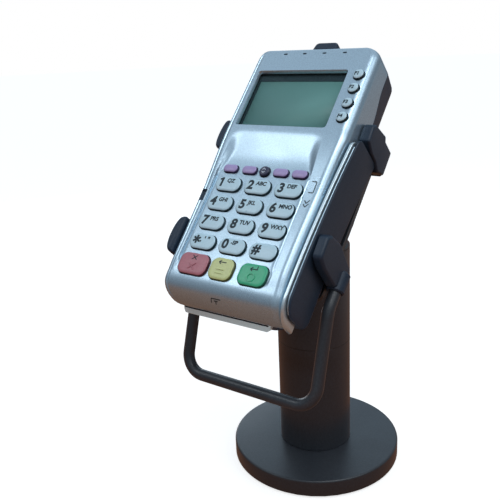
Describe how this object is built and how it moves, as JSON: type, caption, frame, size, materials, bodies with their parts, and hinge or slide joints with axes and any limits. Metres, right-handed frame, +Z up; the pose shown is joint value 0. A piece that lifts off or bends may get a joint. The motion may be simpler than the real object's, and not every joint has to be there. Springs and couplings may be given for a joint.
{
  "type": "card payment terminal",
  "caption": "Countertop card payment terminal with display, keypad and side swipe track, clipped in a tilting cradle with a handle on a swivelling pole and round base.",
  "frame": {"origin": "centre of the base's underside, on the counter", "axes": "+Z up along the pole; the keypad and the handle face -Y; +X is to the right of a person who faces the keypad, the side of the swipe track"},
  "size_m": [0.11, 0.1494, 0.2675],
  "materials": {
    "silver_paint": "satin light blue-silver metallic paint on plastic",
    "black_plastic": "black satin moulded plastic",
    "black_powder_coat": "black satin powder coat",
    "zinc_steel": "zinc-plated steel",
    "rubber": "black rubber",
    "acetal_bush": "black acetal",
    "friction_washer": "fibre-filled friction disc",
    "display_window": "clear polished window",
    "lcd_green": "grey-green liquid crystal panel",
    "smoked_light_pipe": "smoked clear plastic",
    "circuit_board": "green solder mask",
    "key_silver": "pale blue-grey moulded key",
    "key_dark": "dark slate moulded key",
    "key_purple": "lilac moulded key",
    "key_red": "dusty red moulded key",
    "key_yellow": "pale yellow moulded key",
    "key_green": "green moulded key"
  },
  "bodies": {
    "base": {"base_pad": "rubber", "base_plate": "black_powder_coat", "base_bolt": "zinc_steel", "pole_lower": "black_powder_coat", "swivel_bush": "acetal_bush"},
    "column": {"pole_upper": "black_powder_coat", "tilt_yoke": "black_powder_coat", "tilt_bolt": "zinc_steel", "tilt_nut": "zinc_steel", "friction_washer_left": "friction_washer", "friction_washer_right": "friction_washer"},
    "head": {"card_connector": "black_plastic", "card_lip": "silver_paint", "case_screw_left": "zinc_steel", "case_screw_right": "zinc_steel", "clip_left_lower": "black_plastic", "clip_left_upper": "black_plastic", "clip_right_lower": "black_plastic", "clip_right_upper": "black_plastic", "clip_top": "black_plastic", "coin_cell": "zinc_steel", "cradle_pad": "rubber", "cradle_plate": "black_powder_coat", "data_port": "black_plastic", "display_window": "display_window", "handle": "black_powder_coat", "keypad_mat": "rubber", "lcd_panel": "lcd_green", "lower_case": "black_plastic", "mag_head": "zinc_steel", "main_board": "circuit_board", "status_light_bar": "smoked_light_pipe", "swipe_housing": "black_plastic", "swipe_rail": "silver_paint", "tilt_knuckle": "black_powder_coat", "upper_case": "silver_paint"},
    "key_0": {"key_0": "key_silver"},
    "key_1": {"key_1": "key_silver"},
    "key_2": {"key_2": "key_silver"},
    "key_3": {"key_3": "key_silver"},
    "key_4": {"key_4": "key_silver"},
    "key_5": {"key_5": "key_silver"},
    "key_6": {"key_6": "key_silver"},
    "key_7": {"key_7": "key_silver"},
    "key_8": {"key_8": "key_silver"},
    "key_9": {"key_9": "key_silver"},
    "key_cancel": {"key_cancel": "key_red"},
    "key_clear": {"key_clear": "key_yellow"},
    "key_enter": {"key_enter": "key_green"},
    "key_function_1": {"key_function_1": "key_silver"},
    "key_function_2": {"key_function_2": "key_silver"},
    "key_function_3": {"key_function_3": "key_silver"},
    "key_function_4": {"key_function_4": "key_silver"},
    "key_hash": {"key_hash": "key_silver"},
    "key_scroll": {"key_scroll": "key_dark"},
    "key_soft_1": {"key_soft_1": "key_purple"},
    "key_soft_2": {"key_soft_2": "key_purple"},
    "key_soft_3": {"key_soft_3": "key_purple"},
    "key_soft_4": {"key_soft_4": "key_purple"},
    "key_star": {"key_star": "key_silver"}
  },
  "joints": [
    {"name": "stand_swivel", "type": "hinge", "parent": "base", "child": "column", "pos_m": [0, 0, 0.0845], "axis": [0, 0, 1], "range_deg": [-165, 165]},
    {"name": "head_tilt", "type": "hinge", "parent": "column", "child": "head", "pos_m": [0, 0.006, 0.164], "axis": [1, 0, 0], "range_deg": [-25, 20]},
    {"name": "press_key_0", "type": "slide", "parent": "head", "child": "key_0", "axis": [0, 0.7235, -0.6904], "range_m": [0, 0.0012], "stiffness_N_per_m": 1000},
    {"name": "press_key_1", "type": "slide", "parent": "head", "child": "key_1", "axis": [0, 0.7235, -0.6904], "range_m": [0, 0.0012], "stiffness_N_per_m": 1000},
    {"name": "press_key_2", "type": "slide", "parent": "head", "child": "key_2", "axis": [0, 0.7235, -0.6904], "range_m": [0, 0.0012], "stiffness_N_per_m": 1000},
    {"name": "press_key_3", "type": "slide", "parent": "head", "child": "key_3", "axis": [0, 0.7235, -0.6904], "range_m": [0, 0.0012], "stiffness_N_per_m": 1000},
    {"name": "press_key_4", "type": "slide", "parent": "head", "child": "key_4", "axis": [0, 0.7235, -0.6904], "range_m": [0, 0.0012], "stiffness_N_per_m": 1000},
    {"name": "press_key_5", "type": "slide", "parent": "head", "child": "key_5", "axis": [0, 0.7235, -0.6904], "range_m": [0, 0.0012], "stiffness_N_per_m": 1000},
    {"name": "press_key_6", "type": "slide", "parent": "head", "child": "key_6", "axis": [0, 0.7235, -0.6904], "range_m": [0, 0.0012], "stiffness_N_per_m": 1000},
    {"name": "press_key_7", "type": "slide", "parent": "head", "child": "key_7", "axis": [0, 0.7235, -0.6904], "range_m": [0, 0.0012], "stiffness_N_per_m": 1000},
    {"name": "press_key_8", "type": "slide", "parent": "head", "child": "key_8", "axis": [0, 0.7235, -0.6904], "range_m": [0, 0.0012], "stiffness_N_per_m": 1000},
    {"name": "press_key_9", "type": "slide", "parent": "head", "child": "key_9", "axis": [0, 0.7235, -0.6904], "range_m": [0, 0.0012], "stiffness_N_per_m": 1000},
    {"name": "press_key_cancel", "type": "slide", "parent": "head", "child": "key_cancel", "axis": [0, 0.7235, -0.6904], "range_m": [0, 0.0012], "stiffness_N_per_m": 1000},
    {"name": "press_key_clear", "type": "slide", "parent": "head", "child": "key_clear", "axis": [0, 0.7235, -0.6904], "range_m": [0, 0.0012], "stiffness_N_per_m": 1000},
    {"name": "press_key_enter", "type": "slide", "parent": "head", "child": "key_enter", "axis": [0, 0.7235, -0.6904], "range_m": [0, 0.0012], "stiffness_N_per_m": 1000},
    {"name": "press_key_function_1", "type": "slide", "parent": "head", "child": "key_function_1", "axis": [0, 0.7235, -0.6904], "range_m": [0, 0.0012], "stiffness_N_per_m": 1000},
    {"name": "press_key_function_2", "type": "slide", "parent": "head", "child": "key_function_2", "axis": [0, 0.7235, -0.6904], "range_m": [0, 0.0012], "stiffness_N_per_m": 1000},
    {"name": "press_key_function_3", "type": "slide", "parent": "head", "child": "key_function_3", "axis": [0, 0.7235, -0.6904], "range_m": [0, 0.0012], "stiffness_N_per_m": 1000},
    {"name": "press_key_function_4", "type": "slide", "parent": "head", "child": "key_function_4", "axis": [0, 0.7235, -0.6904], "range_m": [0, 0.0012], "stiffness_N_per_m": 1000},
    {"name": "press_key_hash", "type": "slide", "parent": "head", "child": "key_hash", "axis": [0, 0.7235, -0.6904], "range_m": [0, 0.0012], "stiffness_N_per_m": 1000},
    {"name": "press_key_scroll", "type": "slide", "parent": "head", "child": "key_scroll", "axis": [0, 0.7235, -0.6904], "range_m": [0, 0.0012], "stiffness_N_per_m": 1000},
    {"name": "press_key_soft_1", "type": "slide", "parent": "head", "child": "key_soft_1", "axis": [0, 0.7235, -0.6904], "range_m": [0, 0.0012], "stiffness_N_per_m": 1000},
    {"name": "press_key_soft_2", "type": "slide", "parent": "head", "child": "key_soft_2", "axis": [0, 0.7235, -0.6904], "range_m": [0, 0.0012], "stiffness_N_per_m": 1000},
    {"name": "press_key_soft_3", "type": "slide", "parent": "head", "child": "key_soft_3", "axis": [0, 0.7235, -0.6904], "range_m": [0, 0.0012], "stiffness_N_per_m": 1000},
    {"name": "press_key_soft_4", "type": "slide", "parent": "head", "child": "key_soft_4", "axis": [0, 0.7235, -0.6904], "range_m": [0, 0.0012], "stiffness_N_per_m": 1000},
    {"name": "press_key_star", "type": "slide", "parent": "head", "child": "key_star", "axis": [0, 0.7235, -0.6904], "range_m": [0, 0.0012], "stiffness_N_per_m": 1000}
  ]
}
